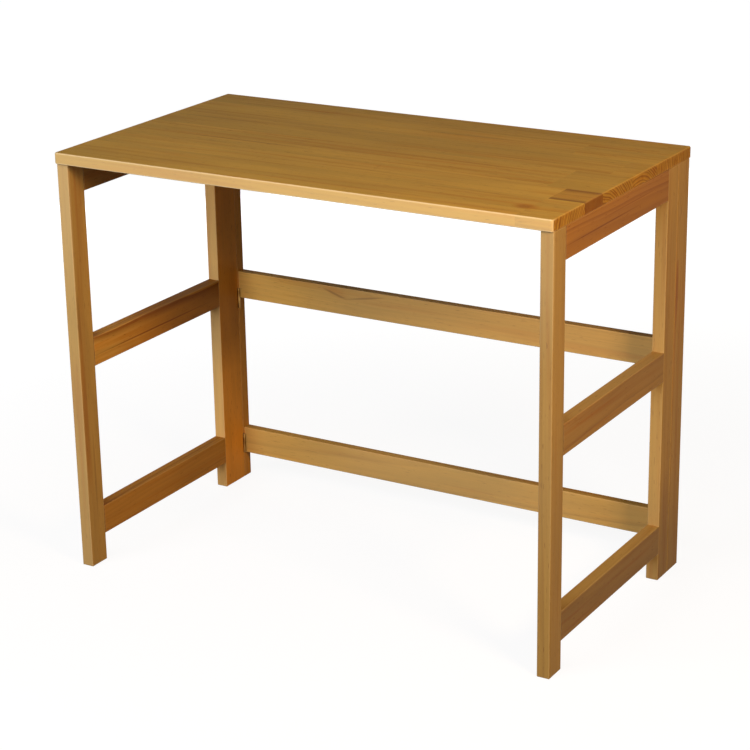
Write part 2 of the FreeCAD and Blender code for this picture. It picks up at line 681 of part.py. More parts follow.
dowel = make_dowel()
make_group("back_frame_dowels", dowel, dowel_places(back_rails, X_AXIS, "dims.post_dowel_depth"))
for side, rails in side_rails.items():
    make_group(f"{side}_frame_dowels", dowel, dowel_places(rails, Y_AXIS, "dims.leg_dowel_depth"))

check_and_write()
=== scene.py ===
"""Folding desk of stained pine: its finish, hinge screws, dowels and studio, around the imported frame.

The file is laid out as a Blender add-on and is run as a script. Lengths are in metres, in the frame's own
axes: X to the right, Y to the back, Z up, with the floor at zero.
"""
import math
import random
from functools import partial

import bmesh
import bpy
from mathutils import Euler, Matrix, Vector


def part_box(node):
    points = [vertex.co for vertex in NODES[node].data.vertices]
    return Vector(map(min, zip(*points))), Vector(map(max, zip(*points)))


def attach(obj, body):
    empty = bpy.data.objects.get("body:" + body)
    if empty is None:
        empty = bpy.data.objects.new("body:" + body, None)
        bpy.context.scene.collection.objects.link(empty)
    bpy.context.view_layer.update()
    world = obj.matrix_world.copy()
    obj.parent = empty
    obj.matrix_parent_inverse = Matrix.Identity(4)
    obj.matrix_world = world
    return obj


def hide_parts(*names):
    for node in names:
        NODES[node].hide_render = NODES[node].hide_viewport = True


bl_info = {
    "name": "Folding Desk",
    "version": (1, 0, 0),
    "blender": (4, 5, 0),
    "location": "View3D > Sidebar > Folding Desk",
    "description": "Finishes the packed frame of a folding pine desk and sets up its studio",
    "category": "Object",
}

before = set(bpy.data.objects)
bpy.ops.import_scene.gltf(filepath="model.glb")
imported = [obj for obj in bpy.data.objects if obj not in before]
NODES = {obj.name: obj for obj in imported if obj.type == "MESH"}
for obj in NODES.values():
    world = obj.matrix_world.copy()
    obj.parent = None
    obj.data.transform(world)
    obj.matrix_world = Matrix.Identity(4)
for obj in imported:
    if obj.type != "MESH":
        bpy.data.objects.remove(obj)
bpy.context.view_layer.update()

MM = 0.001
FULL_TURN = 2 * math.pi
QUARTER_TURN = math.pi / 2
SAME_SPOT = 0.001 * MM  # points of a mesh that are closer than this are one
PLACE_DIGITS = 5  # places are sorted to a hundredth of a millimetre

BOARDS = [name for name in sorted(NODES) if name.endswith(("_leg", "_post", "_rail"))]
HINGE_PIECES = [name for name in sorted(NODES) if name.endswith(("_leaf", "_pin"))]
SCREW_GROUPS = {
    "back_frame": ("left_post_hinge_screws", "right_post_hinge_screws", "back_rail_hinge_screws"),
    "left_frame": ("left_leg_hinge_screws",),
    "right_frame": ("right_leg_hinge_screws",),
    "desktop": ("desktop_hinge_screws",),
}
DOWEL_GROUPS = {
    "back_frame": ("back_frame_dowels",),
    "left_frame": ("left_frame_dowels",),
    "right_frame": ("right_frame_dowels",),
}

# Kinds of node that are used most, and how the Mix node is set and linked where it mixes colours.
MATH = "ShaderNodeMath"
VECTOR_MATH = "ShaderNodeVectorMath"
SEPARATE = "ShaderNodeSeparateXYZ"
COMBINE = "ShaderNodeCombineXYZ"
MAP_RANGE = "ShaderNodeMapRange"
MAPPING = "ShaderNodeMapping"
COORDINATES = "ShaderNodeTexCoord"
NOISE = "ShaderNodeTexNoise"
CHANCE = "ShaderNodeTexWhiteNoise"
MIX = "ShaderNodeMix"
COLOUR_A = 6
COLOUR_B = 7
COLOUR_MIX = {"out": 2, "data_type": "RGBA"}

# The turn that lays a board's X along its grain, by the axis that the grain follows.
GRAIN_TURNS = (Euler((0, 0, 0)), Euler((0, 0, QUARTER_TURN)), Euler((0, -QUARTER_TURN, 0)))

# Each board's stain and painted light: tone, russet, how bare it stayed and how strong its grain lines are.
# The tone and bareness are partly painted light, shade and sheen, set board by board.
BOARD_STAIN_AND_LIGHT = {
    "back_bottom_rail": (1.13, -0.3, 0.24, 0.4),
    "back_middle_rail": (1.13, -0.15, 0.22, 0.6),
    "back_top_rail": (1.0, 0.0, 0.1, 0.4),
    "left_back_post": (1.45, 0.9, 0.0, 0.4),
    "left_bottom_rail": (1.08, 0.8, 0.0, 0.6),
    "left_front_leg": (1.0, 0.15, 0.07, 0.5),
    "left_middle_rail": (1.24, 0.78, 0.0, 1.0),
    "left_rear_leg": (1.64, 1.0, 0.0, 0.3),
    "left_top_rail": (0.7, 0.7, 0.0, 0.4),
    "right_back_post": (0.91, 0.1, 0.02, 0.4),
    "right_bottom_rail": (0.63, 0.18, 0.02, 0.4),
    "right_front_leg": (0.78, 0.0, 0.05, 0.4),
    "right_middle_rail": (0.75, 0.3, 0.02, 0.4),
    "right_rear_leg": (0.91, 0.1, 0.02, 0.4),
    "right_top_rail": (0.87, 1.0, 0.0, 1.0),
}

# Narrow faces apart from the wide ones: tone, how russet and how bare. The tone and bareness are painted
# light,
# shade and sheen: the narrow faces of the back and left rails darker, those of the right rails lighter, and
# those of the legs paler.
EDGE_STAIN_AND_LIGHT = {
    "back_bottom_rail": (0.85, 0.0, 0.05),
    "back_middle_rail": (0.73, 0.0, 0.05),
    "left_bottom_rail": (0.86, 0.82, 0.0),
    "left_front_leg": (0.96, 0.05, 0.24),
    "left_middle_rail": (1.03, 0.95, 0.0),
    "left_rear_leg": (1.52, 0.25, 0.32),
    "right_bottom_rail": (0.74, 0.05, 0.06),
    "right_front_leg": (0.7, 0.1, 0.13),
    "right_middle_rail": (0.82, 0.1, 0.09),
    "right_rear_leg": (0.96, 0.03, 0.2),
}

# Single marks: what each raises and by how much, then its middle and its half size in millimetres, and its
# turn about Y in degrees, all in the board's own axes. Some are figure, knots and streaks in the wood; the
# others are painted light, shade and reflection, as said at each board.
THROUGH = 1000
MARKS = {
    "back_bottom_rail": (
        # Painted light and shade along the rail: lighter towards the left end, a little darker towards the
        # right, and less pale at both.
        ("Tone", 0.2, (-430, 0, 0), (260, THROUGH, THROUGH), 0),
        ("Bare", -0.12, (-430, 0, 0), (260, THROUGH, THROUGH), 0),
        ("Tone", -0.06, (430, 0, 0), (300, THROUGH, THROUGH), 0),
        ("Bare", -0.08, (430, 0, 0), (300, THROUGH, THROUGH), 0),
    ),
    "back_middle_rail": (
        # Painted light: lighter and less pale towards the left end. The bands and russet after it are a
        # figure in the grain.
        ("Tone", 0.25, (-430, 0, 0), (240, THROUGH, THROUGH), 0),
        ("Bare", -0.14, (-430, 0, 0), (260, THROUGH, THROUGH), 0),
        ("Band", 0.75, (-222, 0, 12), (30, THROUGH, 3), 17),
        ("Band", 0.75, (-157, 0, 12), (50, THROUGH, 2.6), -10),
        ("Russet", 0.5, (-218, 0, 14), (36, THROUGH, 11), 17),
        ("Russet", 0.2, (-175, 0, 20), (60, THROUGH, 12), 0),
    ),
    "desktop": (
        ("Band", 0.3, (385, -204, 0), (16, 12, THROUGH), 0),
        ("Russet", 0.9, (386, -204, 0), (24, 17, THROUGH), 0),
        ("Band", 0.5, (-225, -41, 0), (170, 3, THROUGH), 0),
        ("Band", 0.3, (97, 157, 0), (130, 7, THROUGH), 0),
        ("Band", 0.25, (70, 166, 0), (100, 3, THROUGH), 0),
        ("Band", 0.3, (-350, 80, 0), (120, 6, THROUGH), 0),
    ),
    "left_front_leg": (
        # Painted reflection on the front: paler towards the top and more russet towards the bottom. The
        # russet streak and dark lines after it lie along the front arris.
        ("Bare", 0.14, (361, -20, 0), (250, 6, THROUGH), 0),
        ("Russet", 0.2, (-361, -20, 0), (250, 6, THROUGH), 0),
        ("Russet", 0.9, (-60, -14, 0), (170, 8, THROUGH), 0),
        ("Band", 0.45, (90, -16, 0), (60, 5, THROUGH), 0),
        ("Band", 0.45, (-200, 2, 0), (100, 3, THROUGH), 0),
    ),
    "left_middle_rail": (
        # Painted light and shade along the rail: lighter and less russet towards the front, darker and more
        # russet towards the back. The thin band is a grain line.
        ("Tone", 0.22, (-200, 0, 0), (160, THROUGH, THROUGH), 0),
        ("Russet", -0.48, (-200, 0, 0), (160, THROUGH, THROUGH), 0),
        ("Tone", -0.33, (110, 0, 0), (170, THROUGH, THROUGH), 0),
        ("Russet", 0.2, (110, 0, 0), (170, THROUGH, THROUGH), 0),
        ("Band", 0.9, (-25, 0, -7), (210, THROUGH, 1.8), 0),
    ),
    "left_rear_leg": (
        # Painted light and shade along the leg: lighter at the bottom and the top, darker in the middle.
        ("Tone", 0.2, (-361, 0, 0), (300, THROUGH, THROUGH), 0),
        ("Tone", -0.45, (-25, 0, 0), (110, THROUGH, THROUGH), 0),
        ("Tone", 0.3, (361, 0, 0), (180, THROUGH, THROUGH), 0),
    ),
    "right_back_post": (
        # Painted shade: darker towards the bottom. The russet streak and band after it are in the wood.
        ("Tone", -0.15, (-361, 0, 0), (200, THROUGH, THROUGH), 0),
        ("Russet", 1.5, (145, -15, 0), (60, 7, THROUGH), 0),
        ("Band", 0.4, (145, -15, 0), (60, 5, THROUGH), 0),
    ),
    "right_front_leg": (
        # Painted reflection on the front: paler towards the top, a little less pale towards the bottom.
        ("Bare", 0.12, (361, -20, 0), (220, 6, THROUGH), 0),
        ("Bare", -0.05, (-361, -20, 0), (300, 6, THROUGH), 0),
    ),
    "right_rear_leg": (
        # Painted shade: darker towards the bottom.
        ("Tone", -0.17, (-361, 0, 0), (200, THROUGH, THROUGH), 0),
    ),
    "right_top_rail": (
        ("Band", 0.8, (-70, 0, -5), (170, THROUGH, 1.8), 0),
        ("Band", 0.5, (40, 0, 6), (150, THROUGH, 1.6), 0),
    ),
}

# A range has two ends of what comes in, and then two of what goes out where they aren't 0 and 1.
MARK_FADE = (1.0, 0.4)  # shares of a mark's half size: its rim, and where it is full

# Logs of the boards: how far the pith lies from a board's middle, and how far apart their patterns are.
LOG_SEED = 11
PITH_NEAREST = 45 * MM
PITH_FARTHEST = 110 * MM
LOG_SPREAD = 5
TRUNK_TAPER = 0.012

# Noise along the grain by length, width and detail. Real fibres are a tenth of this width, too fine to show,
# so they are drawn coarser.
WAVER_NOISE = (420 * MM, 60 * MM, 2.0)
FIBRE_NOISE = (90 * MM, 1.4 * MM, 3.0)
BLOTCH_NOISE = (240 * MM, 32 * MM, 2.0)
STREAK_NOISE = (320 * MM, 11 * MM, 2.0)
DASH_NOISE = (16 * MM, 1.1 * MM, 0.0)
NOISE_MIDDLE = (0.5, 0.5, 0.5)
WAVER_REACH = 14 * MM

# Years of growth: over how many the pace changes and by how much, and when in a year the wood darkens.
PACE_SCALE = 0.35
PACE_REACH = 2.0
DARKENING = (0.2, 0.9)
YEAR_END = (1.0, 0.9)
STRONG_YEARS = (0.7, 1.0, 0.2, 1.0)  # from a year's chance to how strong its line is
END_FIGURE = 0.45  # how much stronger the rings are on cut ends

# Shades, resin, wear and lacquer of the wood; the arris wear is partly a painted highlight.
FIBRE_SHADE = (0.25, 0.75, 0.95, 1.05)
BLOTCH_SHADE = (0.3, 0.7, 0.92, 1.08)
RESIN_STREAKS = (0.5, 0.78, 0.0, 0.9)
RESIN_DASHES = (0.73, 0.82, 0.0, 0.7)
ARRIS = (-2.5 * MM, -0.4 * MM)  # from a board's faces
FACING = (0.6, 0.9)  # cosines between which a surface turns towards an axis
LACQUER_ROUGHNESS = (0.0, 1.0, 0.42, 0.54)
END_ROUGHNESS = 0.12  # added on cut ends
GRAIN_RELIEF = 0.06 * MM
BUMP_STRENGTH = 0.3
WOOD_IOR = 1.5
LACQUER_SHEEN = 0.05
ARRIS_WEAR_AND_HIGHLIGHT = 0.12

# Staves of the desktop from front to back: width, length and tone of the short piece at the right end, and
# how dark the late wood is along both edges of that piece.
STAVES = (
    (104 * MM, 62 * MM, 1.06, 0.0),
    (64 * MM, 60 * MM, 1.05, 0.8),
    (106 * MM, 95 * MM, 1.0, 0.0),
    (92 * MM, 40 * MM, 1.07, 0.0),
    (76 * MM, 150 * MM, 1.11, 0.0),
    (66 * MM, 30 * MM, 1.05, 0.0),
)
STAVE_LOG_SPREAD = (9, 9, 9)
STAVE_PITH_FIRST = (0, -0.25, -0.12)
STAVE_PITH_SPREAD = (0, 0.5, 0.09)
STAVE_FIGURE = 0.35
STAVE_TONE = (0.0, 1.0, 1.04, 1.12)
STAVE_RUSSET = (0.5, 1.0, 0.0, 0.4)
END_BAND = (15 * MM, 5 * MM)
# Painted highlight on the desktop's front edge face, stronger on the arrises within a few millimetres of the
# front.
FRONT_EDGE_HIGHLIGHT = (-0.3, -0.6, 0.0, 0.4)
FRONT_ARRIS_HIGHLIGHT = (12 * MM, 5 * MM, ARRIS_WEAR_AND_HIGHLIGHT, 0.6)

# Brass and beech: noise by length, width and detail, and the ranges in which it shows.
STRIP_LINE_NOISE = (30 * MM, 0.3 * MM, 2.0)
STRIP_CLOUD_NOISE = (14 * MM, 9 * MM, 4.0)
STRIP_ROUGHNESS = (0.0, 1.0, 0.26, 0.48)
STRIP_RELIEF = 0.02 * MM
LATHE_RING = 0.15 * MM
SCREW_CLOUD_NOISE = (6 * MM, 6 * MM, 3.0)
SCREW_ROUGHNESS = (0.0, 1.0, 0.2, 0.45)
TARNISH = (0.4, 0.7)
RAY_NOISE = (3 * MM, 0.5 * MM, 2.0)
BEECH_TONE_NOISE = (20 * MM, 2 * MM, 2.0)
BEECH_RAYS = (0.6, 0.75)
BEECH_ROUGHNESS = (0.0, 1.0, 0.6, 0.8)

# Screws and dowels: faces round and along each, and where the stages of its profile end.
SCREW_SIDES = 20
SCREW_ROWS = 60
SCREW_STAGES = (0.0, 0.05, 0.1, 0.9, 1.0)
SCREW_SEED = 3
THREAD_START = 0.12  # share of the thread in which it grows to its full depth
FLUTES = 16
FLUTE_SIDES = 4
DOWEL_ROWS = 20
DOWEL_STAGES = (0.0, 0.1, 0.2, 0.8, 0.9, 1.0)
DOWEL_SEED = 5
FALLING = (0.0, 1.0, 1.0, 0.0)
OWN_PLACE = "own_place"
AXIS = "axis"

# Studio.
FLOOR_REACH = 12.0
COVE_RADIUS = 2.0
WALL_HEIGHT = 4.0
COVE_STEPS = 8
WALL_SIDES = 96
FLOOR_ROUGHNESS = (0.0, 1.0, 0.85, 0.95)
MOTTLE = {"Scale": 3.0, "Detail": 3.0}
# Share of white that the camera and mirrors see in the floor: less where the lamps light it too.
FLOOR_GLOW = (0.7, 2.2, 0.9, 1.0)
WHITE = (1, 1, 1, 1)
CAMERA_PLACE = (1.80123, -3.01135, 1.58743)
CAMERA_YAW = math.radians(30.890)
CAMERA_PITCH = math.radians(-19.438)
CAMERA_ROLL = math.radians(-1.0)
AIM = Vector((0, 0, 0.4))  # what the softboxes point at
# Azimuth right of the front and elevation of each softbox in degrees, then its distance, width and height.
SOFTBOXES = {
    "front": (-8, 28, 3.0, 3.4, 1.8),
    "side": (64, 27, 2.2, 0.5, 0.5),
    "back": (-140, -3, 2.6, 3.2, 0.5),
}


def linear(hex_colour):
    """Linear RGBA of an sRGB hex colour."""
    channels = [int(hex_colour[i:i + 2], 16) / 255 for i in (1, 3, 5)]
    return tuple(c / 12.92 if c <= 0.04045 else ((c + 0.055) / 1.055) ** 2.4 for c in channels) + (1.0,)


def set_inputs(node, inputs):
    """Sets the inputs of a node, by name or in order; each is a value or the socket that feeds it."""
    for key, value in inputs.items() if isinstance(inputs, dict) else enumerate(inputs):
        if isinstance(value, bpy.types.NodeSocket):
            node.id_data.links.new(value, node.inputs[key])
        else:
            node.inputs[key].default_value = value


def add_node(tree, kind, inputs=(), operation=None, out=0, **settings):
    """Adds one node with its settings and links; returns an output of it, or the node if out is None."""
    node = tree.nodes.new(kind)
    if operation:
        node.operation = operation
    for name, value in settings.items():
        setattr(node, name, value)
    set_inputs(node, inputs)
    return node if out is None else node.outputs[out]


def colour_setting(name, description, hex_colour):
    """Colour that a user can change."""
    return bpy.props.FloatVectorProperty(
        name=name, description=description, subtype="COLOR", size=4, min=0, max=1,
        default=linear(hex_colour))


def length_setting(name, description, millimetres):
    """Length that a user can change."""
    return bpy.props.FloatProperty(
        name=name, description=description, unit="LENGTH", min=0, precision=4, default=millimetres * MM)


def level_setting(name, description, level):
    """Level of light that a user can change."""
    return bpy.props.FloatProperty(name=name, description=description, min=0, default=level)


class PineSettings(bpy.types.PropertyGroup):
    """The stained pine of the boards and the desktop."""

    early_wood: colour_setting("Early wood", "Pale wood of spring, as stained", "#C09143")
    stave_wood: colour_setting("Stave wood", "Early wood of the desktop's staves, stained", "#C8983D")
    late_wood: colour_setting("Late wood", "Dark line that ends each year", "#8A5820")
    russet: colour_setting("Russet tint", "Tint of resin and of boards that took more stain", "#EED0AC")
    end_grain: colour_setting("End grain tint", "Tint where the stain soaked into cut ends", "#E8DCD0")
    # Also the colour of painted highlights and painted sheen.
    bare_wood: colour_setting("Bare wood", "Pale wood where the stain is rubbed thin", "#EBCF9E")
    fleck: colour_setting("Fleck tint", "Tint of the short resin dashes", "#B08868")
    ring_width: length_setting("Ring width", "One year of growth", 5.5)


class FittingSettings(bpy.types.PropertyGroup):
    """Hinges, screws and dowels."""

    brass: colour_setting("Brass", "Clean brass of the hinges and screws", "#B48A4A")
    tarnish: colour_setting("Tarnish", "Dulled brass", "#6E4A22")
    beech: colour_setting("Beech", "Bare wood of the dowels", "#D6AF84")
    beech_ray: colour_setting("Beech rays", "Short dark flecks of beech", "#9C6B42")
    thread_pitch: length_setting("Thread pitch", "Advance of a screw in one turn", 1.25)
    thread_depth: length_setting("Thread depth", "Crest to root of the screw thread", 0.35)
    shank: length_setting("Screw shank", "Diameter over the thread", 2.8)
    head: length_setting("Screw head", "Diameter of the countersunk head", 5.0)
    head_height: length_setting("Head height", "Height of the countersunk head", 1.1)
    point: length_setting("Screw point", "Tapered end of a screw", 2.5)
    recess_span: length_setting("Recess span", "Length of each arm of the cross recess", 3.0)
    recess_width: length_setting("Recess width", "Width and depth of the cross recess", 0.6)
    dowel: length_setting("Dowel", "Diameter over the flutes", 8.0)
    dowel_chamfer: length_setting("Dowel chamfer", "Ends of a dowel", 1.0)
    flute_depth: length_setting("Flute depth", "Glue flutes along a dowel", 0.3)


class StudioSettings(bpy.types.PropertyGroup):
    """Floor, light and camera."""

    floor: colour_setting("Floor", "Pale studio floor", "#686666")
    ambient: level_setting("Ambient", "Level of the light from all round", 0.025)
    front: level_setting("Front", "Level of the wide front softbox", 0.935)
    front_light: colour_setting("Front light", "Colour of the front softbox", "#F6FAFF")
    side: level_setting("Side", "Level of the softbox on the right", 0.585)
    side_light: colour_setting("Side light", "Colour of the softbox on the right", "#FFE0B2")
    back: level_setting("Back", "Level of the low softbox behind the desk", 0.65)
    back_light: colour_setting("Back light", "Colour of the softbox behind the desk", "#FFFFFF")
    lens: bpy.props.FloatProperty(
        name="Lens", description="Focal length", unit="CAMERA", min=1, default=105.6)


class DeskSettings(bpy.types.PropertyGroup):
    """All settings of the desk."""

    pine: bpy.props.PointerProperty(type=PineSettings)
    fittings: bpy.props.PointerProperty(type=FittingSettings)
    studio: bpy.props.PointerProperty(type=StudioSettings)


def add_object(name, data):
    """Object that shows some data in the scene."""
    added = bpy.data.objects.new(name, data)
    bpy.context.scene.collection.objects.link(added)
    return added


def new_material(name):
    """Material with a shader wired to its output; returns it with what adds nodes to it, and the shader."""
    material = bpy.data.materials.new(name)
    material.use_nodes = True
    material.node_tree.nodes.clear()
    add = partial(add_node, material.node_tree)
    shader = add("ShaderNodeBsdfPrincipled", out=None)
    add("ShaderNodeOutputMaterial", {"Surface": shader.outputs[0]}, out=None)
    return material, add, shader


def streaks(add, place, pattern, out="Fac"):
    """Noise drawn out along X, with features of a length, a width and a level of detail."""
    length, width, detail = pattern
    scale = (1 / length, 1 / width, 1 / width)
    drawn = add(VECTOR_MATH, [place, scale], "MULTIPLY")
    return add(NOISE, {"Vector": drawn, "Scale": 1.0, "Detail": detail}, out=out)


def dress(node, material):
    """Gives a material to every slot of a CAD node."""
    for slot in NODES[node].material_slots:
        slot.material = material


def faces_along(add, facing, axis):
    """1 where a surface faces along an axis, either way, and 0 where it doesn't."""
    ahead = add(SEPARATE, [facing], out=axis)
    ahead = add(MATH, [ahead], "ABSOLUTE")
    return add(MAP_RANGE, [ahead, *FACING])


def sawn_pine_group():
    """Solid pine sawn from a log and stained: its colour, roughness and height at a place in a board.

    Rings run about a pith that is parallel to the grain, so faces show lines or arches and ends show arcs.
    """
    tree = bpy.data.node_groups.new("sawn_pine", "ShaderNodeTree")
    add = partial(add_node, tree)
    # Tone, bareness and arris wear also carry painted light, shade and highlights besides the stain.
    inputs = {
        "NodeSocketVector": ("Place", "Facing", "Half size", "Pith", "Log"),
        "NodeSocketFloat": ("Ring width", "Figure", "Tone", "Russet", "Band", "Bare", "Rubbed"),
        "NodeSocketColor": (
            "Early wood", "Late wood", "Russet tint", "End grain tint", "Fleck tint", "Bare wood"),
    }
    outputs = {"Colour": "NodeSocketColor", "Roughness": "NodeSocketFloat", "Height": "NodeSocketFloat"}
    for kind, names in inputs.items():
        for name in names:
            tree.interface.new_socket(name=name, in_out="INPUT", socket_type=kind)
    for name, kind in outputs.items():
        tree.interface.new_socket(name=name, in_out="OUTPUT", socket_type=kind)
    given = add("NodeGroupInput", out=None).outputs
    place = given["Place"]
    wood = add(VECTOR_MATH, [place, given["Log"]], "ADD")

    # The trunk tapers, and wavers by a few millimetres over a board's length, so its rings do too.
    waver = streaks(add, wood, WAVER_NOISE, out="Color")
    shift = add(VECTOR_MATH, [waver, NOISE_MIDDLE], "SUBTRACT")
    shift = add(VECTOR_MATH, [shift, (0, WAVER_REACH, WAVER_REACH)], "MULTIPLY")
    from_pith = add(VECTOR_MATH, [place, given["Pith"]], "SUBTRACT")
    from_pith = add(VECTOR_MATH, [from_pith, shift], "ADD")
    along = add(SEPARATE, [from_pith], out="X")
    from_pith = add(VECTOR_MATH, [from_pith, (0, 1, 1)], "MULTIPLY")
    radius = add(VECTOR_MATH, [from_pith], "LENGTH", out="Value")
    radius = add(MATH, [along, TRUNK_TAPER, radius], "MULTIPLY_ADD")
    years = add(MATH, [radius, given["Ring width"]], "DIVIDE")
    pace = add(NOISE, {"W": years, "Scale": PACE_SCALE}, out="Fac", noise_dimensions="1D")
    years = add(MATH, [pace, PACE_REACH, years], "MULTIPLY_ADD")

    # Early wood darkens slowly into late wood, which stops short at the next spring. Few years leave a
    # strong line, but all of them show on cut ends.
    phase = add(MATH, [years], "FRACT")
    rise = add(MAP_RANGE, [phase, *DARKENING], interpolation_type="SMOOTHSTEP")
    fall = add(MAP_RANGE, [phase, *YEAR_END])
    year = add(MATH, [years], "FLOOR")
    chance = add(CHANCE, {"W": year}, out="Value", noise_dimensions="1D")
    strength = add(MAP_RANGE, [chance, *STRONG_YEARS])
    end = faces_along(add, given["Facing"], "X")
    strength = add(MATH, [strength, end], "MAXIMUM")
    late = add(MATH, [rise, fall], "MULTIPLY")
    late = add(MATH, [late, strength], "MULTIPLY")
    figure = add(MATH, [end, END_FIGURE, given["Figure"]], "MULTIPLY_ADD")
    shown = add(MATH, [late, figure], "MULTIPLY")
    shown = add(MATH, [shown, given["Band"]], "MAXIMUM")

    fibre = streaks(add, wood, FIBRE_NOISE)
    blotch = streaks(add, wood, BLOTCH_NOISE)
    streak = streaks(add, wood, STREAK_NOISE)
    dash = streaks(add, wood, DASH_NOISE)
    fibre_shade = add(MAP_RANGE, [fibre, *FIBRE_SHADE])
    blotch_shade = add(MAP_RANGE, [blotch, *BLOTCH_SHADE])
    shade = add(MATH, [fibre_shade, blotch_shade], "MULTIPLY")
    shade = add(MATH, [shade, given["Tone"]], "MULTIPLY")
    resin = add(MAP_RANGE, [streak, *RESIN_STREAKS])
    resin = add(MATH, [resin, given["Russet"]], "ADD", use_clamp=True)
    dashes = add(MAP_RANGE, [dash, *RESIN_DASHES])

    # The arrises are paler, partly stain rubbed off by handling and partly a painted highlight: they lie
    # near two faces of the board at once.
    inside = add(VECTOR_MATH, [place], "ABSOLUTE")
    inside = add(VECTOR_MATH, [inside, given["Half size"]], "SUBTRACT")
    x, y, z = add(SEPARATE, [inside], out=None).outputs
    nearest = add(MATH, [x, y], "MINIMUM")
    for a, b in ((y, z), (z, x)):
        pair = add(MATH, [a, b], "MINIMUM")
        nearest = add(MATH, [nearest, pair], "MAXIMUM")
    rubbed = add(MAP_RANGE, [nearest, *ARRIS, 0.0, given["Rubbed"]])
    rubbed = add(MATH, [rubbed, given["Bare"]], "ADD", use_clamp=True)

    colour = add(MIX, {
        0: shown, COLOUR_A: given["Early wood"], COLOUR_B: given["Late wood"]}, **COLOUR_MIX)
    for amount, tint in (
        (1.0, shade),
        (resin, given["Russet tint"]),
        (dashes, given["Fleck tint"]),
        (end, given["End grain tint"]),
    ):
        colour = add(
            MIX, {0: amount, COLOUR_A: colour, COLOUR_B: tint}, blend_type="MULTIPLY", **COLOUR_MIX)
    colour = add(MIX, {
        0: rubbed, COLOUR_A: colour, COLOUR_B: given["Bare wood"]}, **COLOUR_MIX)
    rough = add(MAP_RANGE, [fibre, *LACQUER_ROUGHNESS])
    rough = add(MATH, [end, END_ROUGHNESS, rough], "MULTIPLY_ADD")
    height = add(MATH, [fibre, late], "ADD")
    add("NodeGroupOutput", {"Colour": colour, "Roughness": rough, "Height": height}, out=None)


def stain_pine(add, shader, pine, grain_inputs):
    """Pine, planed and sanded, stained a medium oak under a thin satin lacquer.

    The eye gets warm golden brown, soft grain lines, redder cut ends, paler arrises and a low broad sheen.
    """
    inputs = {
        "Ring width": pine.ring_width,
        "Early wood": pine.early_wood,
        "Late wood": pine.late_wood,
        "Russet tint": pine.russet,
        "End grain tint": pine.end_grain,
        "Fleck tint": pine.fleck,
        "Bare wood": pine.bare_wood,
        **grain_inputs,
    }
    group = bpy.data.node_groups["sawn_pine"]
    grain = add("ShaderNodeGroup", inputs, out=None, node_tree=group).outputs
    bump = add("ShaderNodeBump", {
        "Height": grain["Height"], "Strength": BUMP_STRENGTH, "Distance": GRAIN_RELIEF})
    set_inputs(shader, {
        "Base Color": grain["Colour"],
        "Roughness": grain["Roughness"],
        "Normal": bump,
        "IOR": WOOD_IOR,
        "Specular IOR Level": LACQUER_SHEEN,
    })


def grain_lie(node):
    """Middle of a board, the turn that lays X along its grain, and its half size in its own axes."""
    low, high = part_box(node)
    half = (high - low) / 2
    turn = GRAIN_TURNS[max(range(3), key=lambda axis: half[axis])]
    own_half = turn.to_matrix().transposed() @ half
    return (low + high) / 2, turn, Vector(map(abs, own_half))


def own_axes(add, middle, turn):
    """Place and facing of the surface in a board's own axes."""
    coordinates = add(COORDINATES, out=None).outputs
    place = add(MAPPING, {
        "Vector": coordinates["Object"], "Location": middle, "Rotation": turn}, vector_type="TEXTURE")
    facing = add(MAPPING, {"Vector": coordinates["Normal"], "Rotation": turn}, vector_type="TEXTURE")
    return place, facing


def add_marks(add, place, marks):
    """Strength of a board's oval marks at a place, by the input of the grain that they raise."""
    totals = {"Tone": 0.0, "Russet": 0.0, "Bare": 0.0, "Band": 0.0}
    for kind, most, middle, half_size, degrees in marks:
        away = add(MAPPING, {
            "Vector": place,
            "Location": [length * MM for length in middle],
            "Rotation": (0, math.radians(degrees), 0),
            "Scale": [length * MM for length in half_size],
        }, vector_type="TEXTURE")
        away = add(VECTOR_MATH, [away], "LENGTH", out="Value")
        mark = add(MAP_RANGE, [away, *MARK_FADE, 0.0, most])
        totals[kind] = add(MATH, [totals[kind], mark], "ADD")
    return totals


class FOLDING_DESK_OT_boards(bpy.types.Operator):
    """Finish the legs, posts and rails, each sawn from its own log"""

    bl_idname = "folding_desk.finish_boards"
    bl_label = "Boards"

    def execute(self, context):
        pine = context.scene.folding_desk.pine
        sawn_pine_group()
        chance = random.Random(LOG_SEED)
        for node in BOARDS:
            middle, turn, half = grain_lie(node)
            angle = chance.uniform(0, FULL_TURN)
            reach = chance.uniform(PITH_NEAREST, PITH_FARTHEST)
            log = [chance.uniform(-LOG_SPREAD, LOG_SPREAD) for axis in range(3)]
            *stain, figure = BOARD_STAIN_AND_LIGHT[node]
            material, add, shader = new_material(f"stained_pine_{node}")
            place, facing = own_axes(add, middle, turn)
            # Narrow faces get their own tone and bareness: painted light, shade and sheen by how each faces
            # the lamps.
            if node in EDGE_STAIN_AND_LIGHT:
                edge = faces_along(add, facing, "Y" if half.y > half.z else "Z")
                stain = [
                    add(MAP_RANGE, [edge, 0.0, 1.0, on_face, on_edge])
                    for on_face, on_edge in zip(stain, EDGE_STAIN_AND_LIGHT[node])]
            marks = add_marks(add, place, MARKS.get(node, ()))
            stain = {
                kind: add(MATH, [amount, marks[kind]], "ADD")
                for kind, amount in zip(("Tone", "Russet", "Bare"), stain)}
            stain_pine(add, shader, pine, {
                "Place": place,
                "Facing": facing,
                "Half size": half,
                "Pith": (0, reach * math.cos(angle), reach * math.sin(angle)),
                "Log": log,
                "Figure": figure,
                **stain,
                "Band": marks["Band"],
                "Rubbed": ARRIS_WEAR_AND_HIGHLIGHT,
            })
            dress(node, material)
        return {"FINISHED"}


